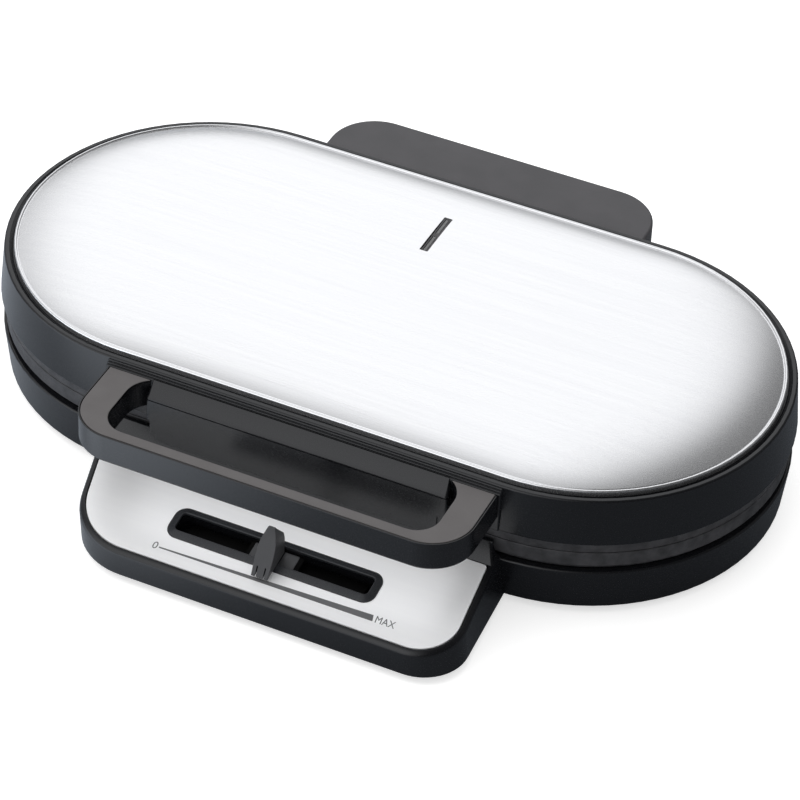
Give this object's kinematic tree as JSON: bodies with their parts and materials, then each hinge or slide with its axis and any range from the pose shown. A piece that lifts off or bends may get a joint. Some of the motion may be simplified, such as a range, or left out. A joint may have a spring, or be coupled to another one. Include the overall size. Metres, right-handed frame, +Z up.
{
  "type": "double waffle maker",
  "caption": "Countertop waffle maker: long base with a sloped panel and slider, hinged domed lid with a loop handle, heart moulds side by side",
  "frame": {"origin": "on the standing surface, below the middle of the whole part's box, with the lid shut and the slider in the middle", "axes": "+X along the long side, the control panel and the handle towards -Y, the hinge towards +Y, +Z up"},
  "size_m": [0.4038, 0.3058, 0.0779],
  "materials": {
    "gloss_black": "glossy moulded",
    "matt_black": "matt moulded",
    "handle_grey": "matt moulded",
    "stainless_cover": "brushed",
    "brushed_fascia": "brushed",
    "coated_casting": "cast with a dark non-stick coating",
    "bare_sheet": "bare sheet",
    "heater_tube": "oxidised tube",
    "hinge_plastic": "moulded",
    "pin_steel": "turned",
    "lamp_lens": "smoked clear plastic",
    "inner_plastic": "moulded",
    "foot_rubber": "moulded"
  },
  "bodies": {
    "base": {"base_shell": "gloss_black", "control_fascia": "brushed_fascia", "slider_bezel": "gloss_black", "thermostat": "inner_plastic", "lower_plate": "coated_casting", "lower_heating_element": "heater_tube", "lower_heat_shield": "bare_sheet", "thermal_fuse": "pin_steel", "shield_screw_1": "pin_steel", "shield_screw_2": "pin_steel", "shield_screw_3": "pin_steel", "shield_screw_4": "pin_steel", "hinge_block": "hinge_plastic", "hinge_block_cover": "hinge_plastic", "hinge_pin_left": "pin_steel", "hinge_pin_right": "pin_steel", "inlet_bush": "foot_rubber", "terminal_block": "inner_plastic", "foot_front_left": "foot_rubber", "foot_rear_left": "foot_rubber", "foot_front_right": "foot_rubber", "foot_rear_right": "foot_rubber", "hinge_foot_left": "foot_rubber", "hinge_foot_right": "foot_rubber"},
    "slider": {"slider_knob": "matt_black", "slider_carriage": "hinge_plastic"},
    "pinion": {"thermostat_pinion": "inner_plastic"},
    "lid": {"lid_shell": "gloss_black", "lid_cover": "stainless_cover", "window_frame": "matt_black", "lens_power": "lamp_lens", "lens_ready": "lamp_lens", "lamp_holder": "inner_plastic", "hinge_hood": "matt_black", "hinge_arm_left": "hinge_plastic", "hinge_arm_right": "hinge_plastic", "upper_plate": "coated_casting", "upper_heating_element": "heater_tube", "upper_heat_shield": "bare_sheet", "handle_frame": "gloss_black", "handle_cap": "handle_grey"}
  },
  "joints": [
    {"name": "lid_hinge", "type": "hinge", "parent": "base", "child": "lid", "pos_m": [0, 0.14268, 0.04], "axis": [-1, 0, 0], "range_deg": [0, 95]},
    {"name": "slider_travel", "type": "slide", "parent": "base", "child": "slider", "axis": [1, 0, 0], "range_m": [-0.032, 0.032]},
    {"name": "pinion_spin", "type": "hinge", "parent": "base", "child": "pinion", "pos_m": [0.00675, -0.10372, 0.0135], "axis": [0, 0, 1], "range_deg": [-150, 150]}
  ],
  "couplings": [
    {"joint": "pinion_spin", "follows": "slider_travel", "rad_per_m": 74.074}
  ]
}
